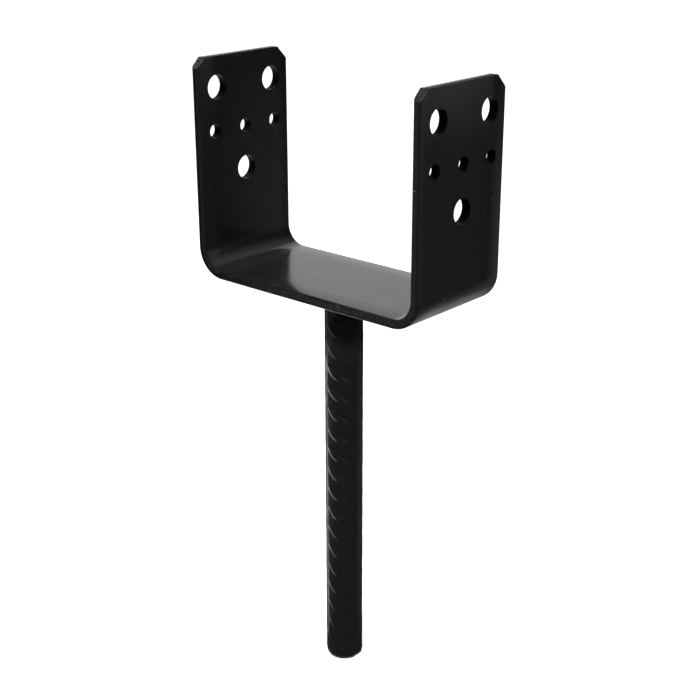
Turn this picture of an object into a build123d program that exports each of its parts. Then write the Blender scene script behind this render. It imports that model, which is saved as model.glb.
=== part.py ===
from build123d import *
import os
from math import atan2, cos, degrees, pi, radians, sin, tan

# U-shaped post support for setting in concrete: a fork folded from one length of flat steel bar,
# with a dowel of ribbed reinforcing bar welded upright under the middle of its base.
# Frame: origin at the centre of the seat (the top face of the base), +Z up, X across the fork,
# Y along the width of the bar. All sizes are in millimetres.

# Fork, folded from flat bar
bar_width = 60.0
bar_thickness = 4.5      # with its coat
clear_width = 126.0      # between the wings
clear_height = 100.0     # from the seat to the tips of the wings
bend_radius = 10.0       # inside each bend
edge_round = 1.5         # rolled edges of the flat bar
front_corner_cut = 5.0   # legs of the cropped corners at the wing tips, at the -Y edge of the bar
back_corner_cut = 6.8    # the same at the +Y edge, because the bar lay off centre under the cropping tool

# Holes punched through both wings in line
bolt_hole_diameter = 11.8
screw_hole_diameter = 7.0
top_row_drop = 14.5      # from the wing tip to the upper bolt holes
row_pitch = 20.5         # from one row of holes down to the next
bolt_hole_spacing = 36.0
screw_hole_spacing = 20.0

# Dowel, a length of hot-rolled ribbed bar
dowel_length = 201.0     # sheared a little longer than its nominal 200
core_diameter = 15.4
seam_height = 1.3        # the two ribs that run along the bar
seam_width = 3.0
seam_round = 0.6
seam_bearing = 34.0      # degrees from +X
rib_height = 1.0         # slanting ribs, crescent-shaped, in two opposite rows
rib_root = 1.0           # how far their sides run on into the core
rib_run_in = 4.0         # degrees that each end runs on under the core's surface
rib_crest_width = 1.6
rib_flank_angle = 45.0   # between a flank and the core's surface
rib_half_span = 62.0     # degrees round the core from a rib's middle to its end
rib_lean = 28.0          # degrees between a rib and a ring square to the bar
rib_pitch = 10.8
rib_bearing = -76.0      # middle of the first row, in degrees from +X
first_rib_drop = 10.3    # from the top of the dowel to the middle of the first rib clear of the weld
end_chamfer = 0.6        # sheared lower end of the dowel

# Fillet weld between the dowel and the underside of the base
weld_leg = 4.5

overcut = 1.0            # how far a cutting tool runs past the metal

core_radius = core_diameter / 2
outer_width = clear_width + 2 * bar_thickness
underside = -bar_thickness
dowel_foot = underside - dowel_length


def folded_bar():
    """The flat bar after folding: a U in the XZ plane, with its long edges rounded."""
    on_floor = (Align.CENTER, Align.MIN)
    blank = Pos(0, underside) * Rectangle(outer_width, clear_height + bar_thickness, align=on_floor)
    blank = fillet(blank.vertices().group_by(Axis.Y)[0], bend_radius + bar_thickness)
    post_space = Rectangle(clear_width, clear_height, align=on_floor)
    post_space = fillet(post_space.vertices().group_by(Axis.Y)[0], bend_radius)
    bar = extrude(Plane.XZ * (blank - post_space), bar_width / 2, both=True)
    long_edges = ShapeList()
    for side in (-1, 1):
        face_edges = bar.edges().filter_by_position(Axis.Y, side * bar_width / 2, side * bar_width / 2)
        long_edges += [edge for edge in face_edges if edge.center().Z < clear_height - edge_round]
    return fillet(long_edges, edge_round)


def corner_waste():
    """The four triangles cropped off the wing tips, as two prisms that cross the fork."""
    waste = []
    for side, corner_cut in ((-1, front_corner_cut), (1, back_corner_cut)):
        tip = (side * bar_width / 2, clear_height)
        inner_end = (tip[0] - side * corner_cut, tip[1])
        lower_end = (tip[0], tip[1] - corner_cut)
        triangle = Polyline(tip, inner_end, lower_end, close=True)
        waste.append(extrude(Plane.YZ * make_face(triangle), outer_width, both=True))
    return waste


def hole_centres():
    """Each hole as (Y, Z, diameter)."""
    upper = clear_height - top_row_drop
    middle = upper - row_pitch
    lower = middle - row_pitch
    holes = [(side * bolt_hole_spacing / 2, upper, bolt_hole_diameter) for side in (-1, 1)]
    holes += [(step * screw_hole_spacing, middle, screw_hole_diameter) for step in (-1, 0, 1)]
    holes.append((0, lower, bolt_hole_diameter))
    return holes


def make_saddle():
    """The fork: folded, cropped and punched."""
    saddle = folded_bar()
    for waste in corner_waste():
        saddle -= waste
    for y, z, diameter in hole_centres():
        saddle -= Pos(0, y, z) * Rot(0, 90, 0) * Cylinder(diameter / 2, outer_width + 2 * overcut)
    return saddle


def ribless_bar():
    """The core of the dowel with the two ribs that run along it."""
    seam = Rectangle(2 * (core_radius + seam_height), seam_width)
    seam = fillet(seam.vertices(), seam_round)
    section = Circle(core_radius) + Rot(0, 0, seam_bearing) * seam
    return Pos(0, 0, dowel_foot) * extrude(section, dowel_length)


def crescent_rib():
    """One slanting rib, its middle at bearing 0 and height 0.

    Its crest lies on a circle that stands rib_height clear of the core in the middle and meets the
    core's surface at both ends, so the rib rises and sinks like a crescent.
    """
    half_span = radians(rib_half_span)
    crest = core_radius + rib_height
    offset = (crest**2 - core_radius**2) / (2 * (crest - core_radius * cos(half_span)))
    arc_radius = crest - offset
    reach = degrees(atan2(core_radius * sin(half_span), core_radius * cos(half_span) - offset)) + rib_run_in
    lead = 2 * pi * arc_radius * tan(radians(rib_lean))
    path = Helix(pitch=lead, height=lead * reach / 180, radius=arc_radius, lefthand=True)
    depth = rib_height + rib_root
    foot_width = rib_crest_width + 2 * depth / tan(radians(rib_flank_angle))
    crest_side = rib_crest_width / 2
    foot_side = foot_width / 2
    corners = [(0, crest_side), (-depth, foot_side), (-depth, -foot_side), (0, -crest_side)]
    start = Plane(origin=path @ 0, x_dir=(1, 0, 0), z_dir=path % 0)
    section = start * make_face(Polyline(*corners, close=True))
    rib = sweep(section, path=path, is_frenet=True)
    return Pos(offset, 0, -lead * reach / 360) * Rot(0, 0, reach) * rib


def make_dowel():
    """The ribbed bar: core, long ribs and two rows of slanting ribs, cropped to length."""
    rib = crescent_rib()
    ribs = []
    count = int((dowel_length - first_rib_drop) / rib_pitch) + 1
    for index in range(count):
        height = underside - first_rib_drop - index * rib_pitch
        for bearing in (rib_bearing, rib_bearing + 180):
            ribs.append(Pos(0, 0, height) * Rot(0, 0, bearing) * rib)
    bar = ribless_bar() + ribs
    crest = core_radius + max(seam_height, rib_height) + overcut
    taper = crest - core_radius + end_chamfer
    on_foot = (Align.CENTER, Align.CENTER, Align.MIN)
    envelope = Pos(0, 0, dowel_foot) * Cylinder(crest, dowel_length, align=on_foot)
    envelope = chamfer(envelope.edges().group_by(Axis.Z)[0], taper)
    return bar & envelope


def make_weld_bead(dowel):
    """The ring of weld metal in the corner between the base and the dowel."""
    lower_toe = (core_radius + seam_height, underside - weld_leg)
    upper_toe = (lower_toe[0] + weld_leg, underside)
    root = core_radius - overcut
    section = Polyline(upper_toe, lower_toe, (root, lower_toe[1]), (root, underside), close=True)
    ring = revolve(Plane.XZ * make_face(section), Axis.Z)
    return ring - dowel


os.makedirs("parts", exist_ok=True)
dowel = make_dowel()
nodes = {"u_saddle": make_saddle(), "ribbed_dowel": dowel, "weld_bead": make_weld_bead(dowel)}
for name, solid in nodes.items():
    export_step(solid, f"parts/{name}.step")
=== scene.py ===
from math import atan2, cos, degrees, radians, sin

import bmesh
import bpy
from mathutils import Matrix, Vector, noise


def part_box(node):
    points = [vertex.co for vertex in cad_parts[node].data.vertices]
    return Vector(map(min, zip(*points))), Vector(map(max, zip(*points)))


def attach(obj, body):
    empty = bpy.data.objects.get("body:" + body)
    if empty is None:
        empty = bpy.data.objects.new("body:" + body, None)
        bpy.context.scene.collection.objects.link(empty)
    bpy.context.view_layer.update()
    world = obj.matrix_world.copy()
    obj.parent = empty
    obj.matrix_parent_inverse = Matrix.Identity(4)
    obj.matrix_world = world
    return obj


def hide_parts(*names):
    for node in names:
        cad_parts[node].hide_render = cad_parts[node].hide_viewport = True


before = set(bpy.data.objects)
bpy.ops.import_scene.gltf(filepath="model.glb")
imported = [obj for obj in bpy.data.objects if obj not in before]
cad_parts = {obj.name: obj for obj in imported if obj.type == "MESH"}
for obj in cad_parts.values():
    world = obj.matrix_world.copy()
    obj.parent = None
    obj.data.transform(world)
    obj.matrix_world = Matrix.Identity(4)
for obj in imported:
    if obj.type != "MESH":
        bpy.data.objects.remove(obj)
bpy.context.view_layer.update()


# ---------------------------------------------------------------------------------------------
# Fork. One length of hot-rolled flat bar, cropped, punched and folded, then degreased and coated
# with black polyester powder, which melts in the oven to a semi-gloss skin. The skin is thin on
# the sheared ends and on the cropped corners, where bare steel glints through.
# ---------------------------------------------------------------------------------------------

MM = 0.001                  # millimetres to the scene's metres
fork_low, fork_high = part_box("u_saddle")
bar_thickness = -fork_low.z         # the seat lies at level 0
bar_width = fork_high.y - fork_low.y
clear_width = fork_high.x - fork_low.x - 2 * bar_thickness
tip_zone = 8 * MM           # the top of each wing, where every face that looks up was cut by a tool
hole_zone = 25 * MM         # a level between the bends and the lowest holes
edge_zone = 3 * MM          # each long edge of the bar, which the rolls rounded
fall_width = 11 * MM        # over which the bar's faces fall towards its long edges
smooth_share = 0.35         # share of a sheared end that was cut smooth, before the rest tore off


def linear(hex_colour):
    """An sRGB hex value as linear RGBA."""
    values = [int(hex_colour[i:i + 2], 16) / 255 for i in (1, 3, 5)]
    return [v / 12.92 if v <= 0.04045 else ((v + 0.055) / 1.055) ** 2.4 for v in values] + [1.0]


def add_node(tree, kind, settings=None, **links):
    """Adds a node. Settings go to its attributes or sockets, links join its sockets to outputs.

    A link is named after its socket, or i0, i1 and so on after its place.
    """
    node = tree.nodes.new(kind)
    for key, value in (settings or {}).items():
        if isinstance(key, str) and hasattr(node, key):
            setattr(node, key, value)
        else:
            node.inputs[key].default_value = value
    for key, output in links.items():
        by_place = key[0] == "i" and key[1:].isdigit()
        socket = node.inputs[int(key[1:]) if by_place else key.replace("_", " ")]
        tree.links.new(output, socket)
    return node


def new_material(name):
    """A material and its node tree, empty."""
    material = bpy.data.materials.new(name)
    material.use_nodes = True
    material.node_tree.nodes.clear()
    return material, material.node_tree


def dress(node_name, material):
    """Gives a CAD node its material."""
    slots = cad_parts[node_name].data.materials
    slots.clear()
    slots.append(material)


# Polyester powder coat: an even black skin with a soft gloss, a faint orange peel, and the long
# marks of the rolled bar under it. It is matt and grainy where the steel was sheared.
fork_coat, tree = new_material("black_polyester_powder_coat")
place = add_node(tree, "ShaderNodeTexCoord").outputs["Object"]
x, y, z = add_node(tree, "ShaderNodeSeparateXYZ", None, Vector=place).outputs
true_normal = add_node(tree, "ShaderNodeNewGeometry").outputs["True Normal"]
facing_x, _, facing_z = add_node(tree, "ShaderNodeSeparateXYZ", None, Vector=true_normal).outputs
from_middle = add_node(tree, "ShaderNodeMath", {"operation": "ABSOLUTE"}, i0=y)

# At the wing tips the cut ends look up, and the cropped corners beside them half up. facing_z is
# 1 on the ends, about 0.7 on the corners and 0 on an upright face.
at_tip = add_node(tree, "ShaderNodeMath", {"operation": "GREATER_THAN", 1: fork_high.z - tip_zone}, i0=z)
below_tip = add_node(tree, "ShaderNodeMath", {"operation": "SUBTRACT", 0: 1.0}, i1=at_tip.outputs[0])
looks_up = add_node(tree, "ShaderNodeMath", {"operation": "GREATER_THAN", 1: 0.5}, i0=facing_z)
cut_end = add_node(tree, "ShaderNodeMath", {"operation": "MULTIPLY"}, i0=at_tip.outputs[0],
                   i1=looks_up.outputs[0])
half_up = add_node(tree, "ShaderNodeMath", {"operation": "LESS_THAN", 1: 0.9}, i0=facing_z)
cropped = add_node(tree, "ShaderNodeMath", {"operation": "MULTIPLY"}, i0=cut_end.outputs[0],
                   i1=half_up.outputs[0])

# The shear cut each end smooth at first, from its -X side, and tore off the rest. A cropped
# corner is torn all through.
on_right = add_node(tree, "ShaderNodeMath", {"operation": "GREATER_THAN", 1: 0.0}, i0=x)
cut_start = add_node(tree, "ShaderNodeMath", {"operation": "MULTIPLY_ADD", 1: clear_width + bar_thickness,
                                              2: -clear_width / 2 - bar_thickness}, i0=on_right.outputs[0])
cut_depth = add_node(tree, "ShaderNodeMath", {"operation": "SUBTRACT"}, i0=x, i1=cut_start.outputs[0])
torn_off = add_node(tree, "ShaderNodeMath", {"operation": "GREATER_THAN", 1: smooth_share * bar_thickness},
                    i0=cut_depth.outputs[0])
torn_part = add_node(tree, "ShaderNodeMath", {"operation": "MAXIMUM"}, i0=torn_off.outputs[0],
                     i1=cropped.outputs[0])
cut_smooth = add_node(tree, "ShaderNodeMath", {"operation": "GREATER_THAN"}, i0=cut_end.outputs[0],
                      i1=torn_part.outputs[0])
torn = add_node(tree, "ShaderNodeMath", {"operation": "MULTIPLY"}, i0=cut_end.outputs[0],
                i1=torn_part.outputs[0])

# The walls of the punched holes: across the wings, inside the bar's edges and below the tips. They
# are painted near black and mirror almost nothing: painted shade for the inside of the holes.
sideways = add_node(tree, "ShaderNodeMath", {"operation": "ABSOLUTE"}, i0=facing_x)
shaded_hole_walls = add_node(tree, "ShaderNodeMath", {"operation": "LESS_THAN", 1: 0.6}, i0=sideways.outputs[0])
off_edge = add_node(tree, "ShaderNodeMath", {"operation": "LESS_THAN", 1: bar_width / 2 - edge_zone},
                    i0=from_middle.outputs[0])
on_wing = add_node(tree, "ShaderNodeMath", {"operation": "GREATER_THAN", 1: hole_zone}, i0=z)
for zone in (off_edge, on_wing, below_tip):
    shaded_hole_walls = add_node(tree, "ShaderNodeMath", {"operation": "MULTIPLY"}, i0=shaded_hole_walls.outputs[0],
                       i1=zone.outputs[0])

# Faces that look up, the seat above all, are lighter in smears: partly dust, partly a painted sheen.
smear = add_node(tree, "ShaderNodeTexNoise", {"Scale": 1 / (14 * MM), "Detail": 4.0, "Distortion": 1.5},
                 Vector=place)
smeared = add_node(tree, "ShaderNodeMapRange", {"From Min": 0.35, "From Max": 0.65, "To Min": 0.6},
                   Value=smear.outputs[0])
dust_and_sheen = add_node(tree, "ShaderNodeMapRange", {"From Min": 0.7, "From Max": 1.0}, Value=facing_z)
for zone in (below_tip, smeared):
    dust_and_sheen = add_node(tree, "ShaderNodeMath", {"operation": "MULTIPLY"}, i0=dust_and_sheen.outputs[0],
                     i1=zone.outputs[0])

# The long edges of the base are pitted, and the pits are dusty.
pits = add_node(tree, "ShaderNodeTexNoise", {"Scale": 1 / (1.5 * MM), "Detail": 3.0, "Roughness": 0.7},
                Vector=place)
pitted = add_node(tree, "ShaderNodeMapRange", {"From Min": 0.48, "From Max": 0.62}, Value=pits.outputs[0])
on_edge = add_node(tree, "ShaderNodeMapRange", {"From Min": bar_width / 2 - 1.2 * MM,
                                                "From Max": bar_width / 2 - 0.5 * MM},
                   Value=from_middle.outputs[0])
on_base = add_node(tree, "ShaderNodeMapRange", {"From Min": 12 * MM, "From Max": 2 * MM}, Value=z)
for zone in (on_edge, on_base):
    pitted = add_node(tree, "ShaderNodeMath", {"operation": "MULTIPLY"}, i0=pitted.outputs[0],
                      i1=zone.outputs[0])

# The grain of a cropped corner, torn steel that shows through the thin coat.
grain = add_node(tree, "ShaderNodeTexNoise", {"Scale": 1 / (0.9 * MM), "Detail": 3.0, "Roughness": 0.7},
                 Vector=place)
grain_tone = add_node(tree, "ShaderNodeValToRGB", None, Fac=grain.outputs[0])
grain_tone.color_ramp.elements[0].position = 0.36
grain_tone.color_ramp.elements[0].color = linear("#2c2c2d")
grain_tone.color_ramp.elements[1].position = 0.68
grain_tone.color_ramp.elements[1].color = linear("#c4c5c8")

# A few crumbs of dust stuck in the powder.
crumbs = add_node(tree, "ShaderNodeTexNoise", {"Scale": 1 / (1.6 * MM), "Detail": 1.0}, Vector=place)
crumb = add_node(tree, "ShaderNodeMapRange", {"From Min": 0.80, "From Max": 0.84}, Value=crumbs.outputs[0])

# Colour: black, and grey or grainy where the steel is torn. The other zones lie over that in turn:
# lighter smears on faces that look up (dust, and painted sheen), the smooth band of each cut end,
# near black hole walls (painted shade), crumbs and pits.
colour = add_node(tree, "ShaderNodeMix", {"data_type": "RGBA", 6: linear("#070708"), 7: linear("#262627")},
                  i0=torn.outputs[0])
colour = add_node(tree, "ShaderNodeMix", {"data_type": "RGBA"}, i0=cropped.outputs[0], i6=colour.outputs[2],
                  i7=grain_tone.outputs[0])
for zone, tone in ((dust_and_sheen, "#1a1a1b"), (cut_smooth, "#58585a"), (shaded_hole_walls, "#030303"), (crumb, "#6a6a6a"),
                   (pitted, "#171718")):
    colour = add_node(tree, "ShaderNodeMix", {"data_type": "RGBA", 7: linear(tone)}, i0=zone.outputs[0],
                      i6=colour.outputs[2])

# Gloss: clouds about two centimetres across, and streaks along the bar.
cloud = add_node(tree, "ShaderNodeTexNoise", {"Scale": 1 / (18 * MM), "Detail": 4.0}, Vector=place)
along = add_node(tree, "ShaderNodeMapping", {"Scale": (1 / (90 * MM), 1 / (1.5 * MM), 1 / (90 * MM))},
                 Vector=place)
streak = add_node(tree, "ShaderNodeTexNoise", {"Scale": 1.0, "Detail": 3.0}, Vector=along.outputs[0])
mixed = add_node(tree, "ShaderNodeMath", {"operation": "ADD"}, i0=cloud.outputs[0], i1=streak.outputs[0])
gloss = add_node(tree, "ShaderNodeMapRange", {"From Min": 0.7, "From Max": 1.3, "To Min": 0.13,
                                              "To Max": 0.26}, Value=mixed.outputs[0])
# The outside of the bends is rougher, where the mill scale cracked under the powder.
under = add_node(tree, "ShaderNodeMapRange", {"From Min": -0.02, "From Max": -0.3, "To Max": 0.16},
                 Value=facing_z)
gloss = add_node(tree, "ShaderNodeMath", {"operation": "ADD"}, i0=gloss.outputs[0], i1=under.outputs[0])
roughness = add_node(tree, "ShaderNodeMix", {3: 0.6}, i0=torn.outputs[0], i2=gloss.outputs[0])
roughness = add_node(tree, "ShaderNodeMix", {3: 0.7}, i0=shaded_hole_walls.outputs[0], i2=roughness.outputs[0])
# Torn steel is barely coated and has none of the powder's gloss. The hole walls, near black and
# metallic, lose the gloss as well: painted shade.
bare_steel_and_hole_shade = add_node(tree, "ShaderNodeMath", {"operation": "MAXIMUM"}, i0=torn.outputs[0], i1=shaded_hole_walls.outputs[0])

# Bump: the bar's faces fall towards its rolled edges, which draws its reflections out. The orange
# peel is about a millimetre across and a few microns high, and torn steel is coarse.
fall = add_node(tree, "ShaderNodeMapRange", {"From Min": bar_width / 2 - fall_width,
                                             "From Max": bar_width / 2}, Value=from_middle.outputs[0])
fall = add_node(tree, "ShaderNodeMath", {"operation": "POWER", 1: 2.0}, i0=fall.outputs[0])
fall = add_node(tree, "ShaderNodeMath", {"operation": "SUBTRACT", 0: 1.0}, i1=fall.outputs[0])
rolled = add_node(tree, "ShaderNodeBump", {"Strength": 1.0, "Distance": 0.7 * MM}, Height=fall.outputs[0])
peel = add_node(tree, "ShaderNodeTexNoise", {"Scale": 1 / (1.1 * MM), "Detail": 2.0}, Vector=place)
skin = add_node(tree, "ShaderNodeBump", {"Strength": 1.0, "Distance": 0.003 * MM}, Height=peel.outputs[0],
                Normal=rolled.outputs[0])
coarse = add_node(tree, "ShaderNodeBump", {"Strength": 1.0, "Distance": 0.12 * MM}, Height=grain.outputs[0])
normal = add_node(tree, "ShaderNodeMix", {"data_type": "VECTOR"}, i0=torn.outputs[0],
                  i4=skin.outputs[0], i5=coarse.outputs[0])
shader = add_node(tree, "ShaderNodeBsdfPrincipled", {"IOR": 1.5, "Coat Weight": 0.15, "Coat Roughness": 0.6},
                  Base_Color=colour.outputs[2], Metallic=bare_steel_and_hole_shade.outputs[0], Roughness=roughness.outputs[0],
                  Normal=normal.outputs[1])
add_node(tree, "ShaderNodeOutputMaterial", Surface=shader.outputs[0])
dress("u_saddle", fork_coat)


# ---------------------------------------------------------------------------------------------
# Dowel. Hot-rolled reinforcing bar, cropped to length by a shear and welded upright under the
# base. The same powder lies over its mill scale, so it is rougher than the fork.
# ---------------------------------------------------------------------------------------------

# Powder coat over mill scale: less even than on the fork, with shallow lumps about a millimetre
# across, and clouds of more and less gloss.
dowel_coat, tree = new_material("powder_coat_over_mill_scale")
place = add_node(tree, "ShaderNodeTexCoord").outputs["Object"]
x, y, z = add_node(tree, "ShaderNodeSeparateXYZ", None, Vector=place).outputs
lumps = add_node(tree, "ShaderNodeTexNoise", {"Scale": 1 / (1.3 * MM), "Detail": 3.0}, Vector=place)
bump = add_node(tree, "ShaderNodeBump", {"Strength": 1.0, "Distance": 0.03 * MM}, Height=lumps.outputs[0])
cloud = add_node(tree, "ShaderNodeTexNoise", {"Scale": 1 / (9 * MM), "Detail": 4.0}, Vector=place)
gloss = add_node(tree, "ShaderNodeMapRange", {"From Min": 0.35, "From Max": 0.65, "To Min": 0.27,
                                              "To Max": 0.38}, Value=cloud.outputs[0])

# Right under the base the powder is matt, fading out about four centimetres down. A darker band
# there is painted shade for the base's shadow: the surface turns partly metallic, so that it
# mirrors little. The band's edge slopes down towards the right and the back, and wanders with the clouds.
matt = add_node(tree, "ShaderNodeMapRange", {"From Min": -42 * MM, "From Max": -32 * MM, "To Max": 0.35},
                Value=z)
gloss = add_node(tree, "ShaderNodeMath", {"operation": "ADD"}, i0=gloss.outputs[0], i1=matt.outputs[0])
edge = add_node(tree, "ShaderNodeMath", {"operation": "MULTIPLY_ADD", 1: 0.17}, i0=x, i2=z)
for slope, axis in ((0.15, y), (12 * MM, cloud.outputs[0])):
    edge = add_node(tree, "ShaderNodeMath", {"operation": "MULTIPLY_ADD", 1: slope}, i0=axis,
                    i2=edge.outputs[0])
# Painted shade of the base: partly metallic above the edge, so that it mirrors little.
painted_base_shadow = add_node(tree, "ShaderNodeMapRange", {"From Min": -27 * MM, "From Max": -21 * MM, "To Max": 0.6},
                Value=edge.outputs[0])
shader = add_node(tree, "ShaderNodeBsdfPrincipled", {"Base Color": linear("#0b0b0c"), "IOR": 1.5},
                  Metallic=painted_base_shadow.outputs[0], Roughness=gloss.outputs[0], Normal=bump.outputs[0])
add_node(tree, "ShaderNodeOutputMaterial", Surface=shader.outputs[0])

# The bar as rolling, scale and powder leave it: the solid's own shape with every corner softened,
# a little lumpy, and with a cropped end that the shear squeezed wider.
cell_size = 0.45 * MM       # edge of a cell of its remeshed skin
softening = 6               # rounds of smoothing
core_radius = 7.7 * MM
seam_bearing = 34           # where the long ribs lie, in degrees from +X
seam_radius = 9.0 * MM      # over the long ribs
oval_reach = 46             # degrees on each side of a long rib over which its foot swells out of the core
oval_height = 1.2 * MM
rib_lift = 0.5              # share of the swelling that lifts the slanting ribs
rib_kept = 0.8              # share of their height that they keep on it
lump_height = 0.12 * MM
lump_size = 6 * MM
end_depth = 2 * MM          # over which the shear drew the steel down to a crisp rim
flare_depth = 4 * MM        # over which the shear squeezed the bar wider, up to the long ribs
dowel_low, dowel_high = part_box("ribbed_dowel")
scene = bpy.context.scene
bm = bmesh.new()
bm.from_mesh(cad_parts["ribbed_dowel"].data)
bmesh.ops.remove_doubles(bm, verts=bm.verts, dist=0.001 * MM)
mesh = bpy.data.meshes.new("bar")
bm.to_mesh(mesh)
bm.free()
bar = bpy.data.objects.new("bar", mesh)
scene.collection.objects.link(bar)
remesh = bar.modifiers.new("remesh", "REMESH")
remesh.mode = "VOXEL"
remesh.voxel_size = cell_size
mesh = bpy.data.meshes.new_from_object(bar.evaluated_get(bpy.context.evaluated_depsgraph_get()))
bpy.data.objects.remove(bar)
bm = bmesh.new()
bm.from_mesh(mesh)
for _ in range(softening):
    bmesh.ops.smooth_vert(bm, verts=bm.verts, factor=0.5, use_axis_x=True, use_axis_y=True, use_axis_z=True)
shrunk = min(vert.co.z for vert in bm.verts) - dowel_low.z      # what the smoothing took off the end
for vert in bm.verts:
    outward = Vector((vert.co.x, vert.co.y, 0))
    radius = outward.length
    if radius > 0.8 * core_radius:      # on the bar's side, and not on its ends
        # The side swells to an oval towards the long ribs, and the shear flared its end. Nothing comes
        # to lie further in than it did.
        off_seam = (degrees(atan2(vert.co.y, vert.co.x)) - seam_bearing + 90) % 180 - 90
        swell = oval_height * cos(radians(90 * min(abs(off_seam) / oval_reach, 1))) ** 2
        ribbed = core_radius + rib_lift * swell + rib_kept * (radius - core_radius)
        near_end = max(1 - (vert.co.z - dowel_low.z) / flare_depth, 0)
        flared = min(radius + near_end ** 2 * (seam_radius - core_radius), seam_radius)
        vert.co += outward.normalized() * (max(core_radius + swell, ribbed, flared, radius) - radius)
    vert.co += outward.normalized() * lump_height * noise.noise(vert.co / lump_size)
    # The smoothing rounded the end. It is drawn down again, to a level face with a crisp rim.
    above_end = vert.co.z - dowel_low.z - shrunk
    if above_end < end_depth:
        vert.co.z = dowel_low.z + above_end ** 2 / end_depth + shrunk * above_end / end_depth
    # Nothing leaves the solid's own box.
    vert.co = [min(max(c, low), high) for c, low, high in zip(vert.co, dowel_low, dowel_high)]
for face in bm.faces:
    face.smooth = True
bm.to_mesh(mesh)
bm.free()
mesh.materials.clear()
mesh.materials.append(dowel_coat)
dowel = bpy.data.objects.new("softened_dowel", mesh)
scene.collection.objects.link(dowel)
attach(dowel, "root")
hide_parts("ribbed_dowel")


# ---------------------------------------------------------------------------------------------
# Weld bead. A fillet of weld metal all round the top of the dowel, with the ripples that the
# moving arc leaves in it as it sets, under the same powder.
# ---------------------------------------------------------------------------------------------

# Powder coat over weld metal: smooth and glossy, with a streak of light on each ripple.
ripple_count = 44           # round the bead, about 2 mm apart at its toe
bead_coat, tree = new_material("powder_coat_over_weld_ripples")
place = add_node(tree, "ShaderNodeTexCoord").outputs["Object"]
x, y, _ = add_node(tree, "ShaderNodeSeparateXYZ", None, Vector=place).outputs
bearing = add_node(tree, "ShaderNodeMath", {"operation": "ARCTAN2"}, i0=y, i1=x)
phase = add_node(tree, "ShaderNodeMath", {"operation": "MULTIPLY", 1: ripple_count}, i0=bearing.outputs[0])
ripple = add_node(tree, "ShaderNodeMath", {"operation": "SINE"}, i0=phase.outputs[0])
bump = add_node(tree, "ShaderNodeBump", {"Strength": 1.0, "Distance": 0.12 * MM}, Height=ripple.outputs[0])
shader = add_node(tree, "ShaderNodeBsdfPrincipled", {"Base Color": linear("#0e0e0f"), "Roughness": 0.28,
                                                     "IOR": 1.5}, Normal=bump.outputs[0])
add_node(tree, "ShaderNodeOutputMaterial", Surface=shader.outputs[0])
dress("weld_bead", bead_coat)


# ---------------------------------------------------------------------------------------------
# Studio. A pale floor at the foot of the dowel, a white room, glowing flags in greys that only the
# gloss mirrors (painted reflections), and soft light from the left and from above the front.
# ---------------------------------------------------------------------------------------------

scene.view_settings.view_transform = "Standard"
foot_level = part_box("ribbed_dowel")[0].z
floor_reach = 6.0           # metres from the floor's middle to its sides


def stage_piece(name, bm, material):
    """Stands something in the studio that isn't part of the object."""
    mesh = bpy.data.meshes.new(name)
    bm.to_mesh(mesh)
    bm.free()
    mesh.materials.append(material)
    piece = bpy.data.objects.new(name, mesh)
    scene.collection.objects.link(piece)
    return piece


# Paper that looks white to the camera and in reflections, and still takes the shadow.
floor_paper, tree = new_material("white_paper")
rays = add_node(tree, "ShaderNodeLightPath").outputs
seen = add_node(tree, "ShaderNodeMath", {"operation": "MAXIMUM"}, i0=rays["Is Camera Ray"],
                i1=rays["Is Glossy Ray"])
seen = add_node(tree, "ShaderNodeMath", {"operation": "MAXIMUM"}, i0=seen.outputs[0],
                i1=rays["Is Transmission Ray"])
glow = add_node(tree, "ShaderNodeMath", {"operation": "MULTIPLY", 1: 0.45}, i0=seen.outputs[0])
paper = add_node(tree, "ShaderNodeBsdfDiffuse", {"Color": linear("#e6e6e6")})
light = add_node(tree, "ShaderNodeEmission", {"Color": (1, 1, 1, 1)}, Strength=glow.outputs[0])
both = add_node(tree, "ShaderNodeAddShader", None, i0=paper.outputs[0], i1=light.outputs[0])
add_node(tree, "ShaderNodeOutputMaterial", Surface=both.outputs[0])
bm = bmesh.new()
bmesh.ops.create_grid(bm, x_segments=1, y_segments=1, size=floor_reach,
                      matrix=Matrix.Translation((0, 0, foot_level)))
stage_piece("floor", bm, floor_paper)

# The white room.
world = bpy.data.worlds.new("studio")
scene.world = world
world.use_nodes = True
world.node_tree.nodes.clear()
sky = add_node(world.node_tree, "ShaderNodeBackground", {"Color": (1, 1, 1, 1), "Strength": 1.0})
add_node(world.node_tree, "ShaderNodeOutputWorld", Surface=sky.outputs[0])

# Flags: glowing sheets in greys round the object, over it and under it, which paint the
# reflections in its gloss, mostly darker than the room, and open at the back on the left. Only
# reflections see them.
# Each standing one is an arc: its two bearings in degrees from +X, then its greys by their level
# in metres.
flag_radius = 0.3
flag_top = 0.3
flag_steps = 32             # flat strips that make up each of them
standing_flags = {
    "flag_right": (-30, 28, ((-0.12, 0.04), (-0.08, 0.22), (0.02, 0.22), (0.07, 0.45))),
    "flag_side": (28, 46.5, ((-0.08, 0.10), (0.02, 0.08), (0.07, 0.45))),
    "flag_gap": (46.5, 50, ((0.0, 0.0),)),
    "flag_step": (50, 53, ((-0.08, 0.12), (-0.01, 0.10), (0.05, 0.03), (0.17, 0.05), (0.22, 0.28))),
    "flag_back": (53, 66, ((-0.08, 0.22), (-0.01, 0.19), (0.05, 0.06), (0.17, 0.10), (0.22, 0.34))),
    "flag_far": (66, 112, ((-0.08, 0.10), (0.06, 0.02), (0.17, 0.03), (0.23, 0.30))),
    "flag_left": (-170, -135, ((0.0, 0.0),)),
    "flag_front": (-135, -100, ((-0.13, 0.03), (-0.11, 0.28), (-0.09, 0.22))),
    "flag_camera": (-100, -30, ((-0.12, 0.03), (-0.08, 0.10))),
}


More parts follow.
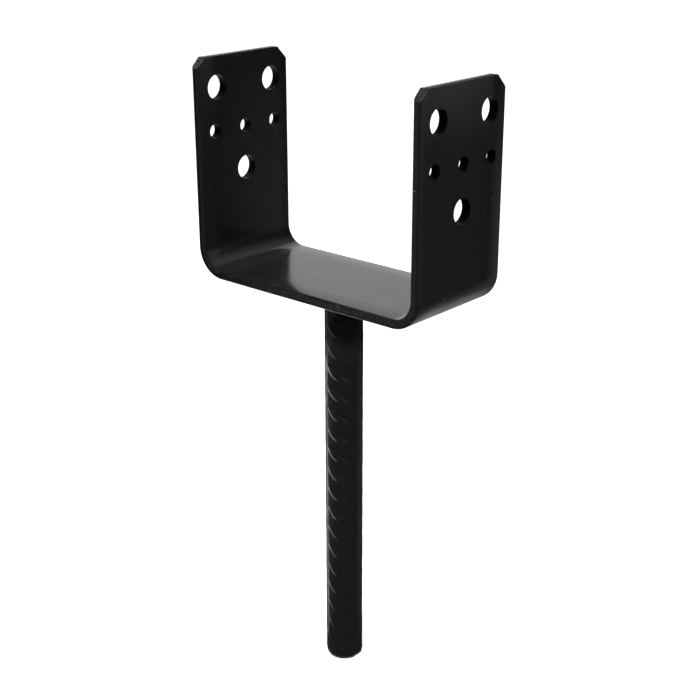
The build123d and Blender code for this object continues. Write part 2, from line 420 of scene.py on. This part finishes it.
def hang_flag(name, bm, greys):
    """A glowing sheet that only reflections see: a painted reflection, in greys that change with the level.
    """
    reflection_glow, tree = new_material(name + "_felt")
    place = add_node(tree, "ShaderNodeTexCoord").outputs["Object"]
    z = add_node(tree, "ShaderNodeSeparateXYZ", None, Vector=place).outputs["Z"]
    height = add_node(tree, "ShaderNodeMapRange", {"From Min": foot_level, "From Max": flag_top}, Value=z)
    shade = add_node(tree, "ShaderNodeValToRGB", None, Fac=height.outputs[0])
    stops = shade.color_ramp.elements
    stops.remove(stops[1])
    for number, (level, grey) in enumerate(greys):
        position = (level - foot_level) / (flag_top - foot_level)
        stop = stops[0] if number == 0 else stops.new(position)
        stop.position = position
        stop.color = (grey, grey, grey, 1.0)
    glow = add_node(tree, "ShaderNodeEmission", {"Strength": 1.0}, Color=shade.outputs[0])
    add_node(tree, "ShaderNodeOutputMaterial", Surface=glow.outputs[0])
    flag = stage_piece(name, bm, reflection_glow)
    flag.visible_camera = False
    flag.visible_diffuse = False
    flag.visible_transmission = False
    flag.visible_shadow = False


def sweep_flag(name, start, end, line, greys):
    """Sweeps a line of two points, each a distance from the middle and a level, round the object."""
    bm = bmesh.new()
    ends = [bm.verts.new((reach * cos(radians(start)), reach * sin(radians(start)), level))
            for reach, level in line]
    bmesh.ops.spin(bm, geom=ends + [bm.edges.new(ends)], cent=(0, 0, 0), axis=(0, 0, 1), dvec=(0, 0, 0),
                   angle=radians(end - start), steps=flag_steps, use_merge=False, use_duplicate=False)
    hang_flag(name, bm, greys)


for name, (start, end, greys) in standing_flags.items():
    sweep_flag(name, start, end, ((flag_radius, foot_level), (flag_radius, flag_top)), greys)

# The lying ones are sectors: two bearings, a level and a grey.
lying_flags = {
    "flag_over_back": (-30, 150, flag_top, 0.5),
    "flag_over_front": (150, 330, flag_top, 0.1),
    "flag_under": (-170, 60, foot_level + 1 * MM, 0.09),
    "flag_under_back": (60, 125, foot_level + 1 * MM, 0.85),
}
for name, (start, end, level, grey) in lying_flags.items():
    sweep_flag(name, start, end, ((1 * MM, level), (flag_radius, level)), ((0.0, grey),))


def softbox(name, place, aim, width, height, watts):
    """A rectangular soft box at place, facing aim."""
    light = bpy.data.lights.new(name, "AREA")
    light.shape = "RECTANGLE"
    light.size = width
    light.size_y = height
    light.energy = watts
    lamp = bpy.data.objects.new(name, light)
    scene.collection.objects.link(lamp)
    lamp.location = place
    lamp.rotation_euler = (Vector(aim) - Vector(place)).to_track_quat("-Z", "Y").to_euler()
    return lamp


softbox("left_softbox", place=(-0.9, 0.35, 0.1), aim=(0, 0, -0.1), width=0.4, height=0.8, watts=2.5)
key = softbox("key_softbox", place=(0.22, -0.82, 0.54), aim=(0, 0, 0), width=0.1, height=0.1, watts=14)
key.visible_glossy = False  # it lights the object, but the gloss doesn't mirror it


# ---------------------------------------------------------------------------------------------
# Camera. It stands off the object's right front corner, above it, and looks down past the middle
# of the base's underside.
# ---------------------------------------------------------------------------------------------

azimuth = radians(40.939)   # from -Y towards +X
elevation = radians(20.876)
roll = radians(-0.017)
distance = 617.37 * MM
aside = 2.91 * MM           # moves the camera and its aim together to the right, as rise does up
rise = -29.36 * MM
target = Vector((0, 0, -bar_thickness))
toward = Vector((sin(azimuth) * cos(elevation), -cos(azimuth) * cos(elevation), sin(elevation)))
right = Vector((0, 0, 1)).cross(toward).normalized()
up = toward.cross(right)
right, up = cos(roll) * right + sin(roll) * up, cos(roll) * up - sin(roll) * right
camera_data = bpy.data.cameras.new("camera")
camera_data.sensor_width = 36
camera_data.lens = 67.0
camera_data.clip_start = 0.01
camera = bpy.data.objects.new("camera", camera_data)
scene.collection.objects.link(camera)
camera.matrix_world = (Matrix.Translation(target + toward * distance + aside * right + rise * up)
                       @ Matrix((right, up, toward)).transposed().to_4x4())
scene.camera = camera
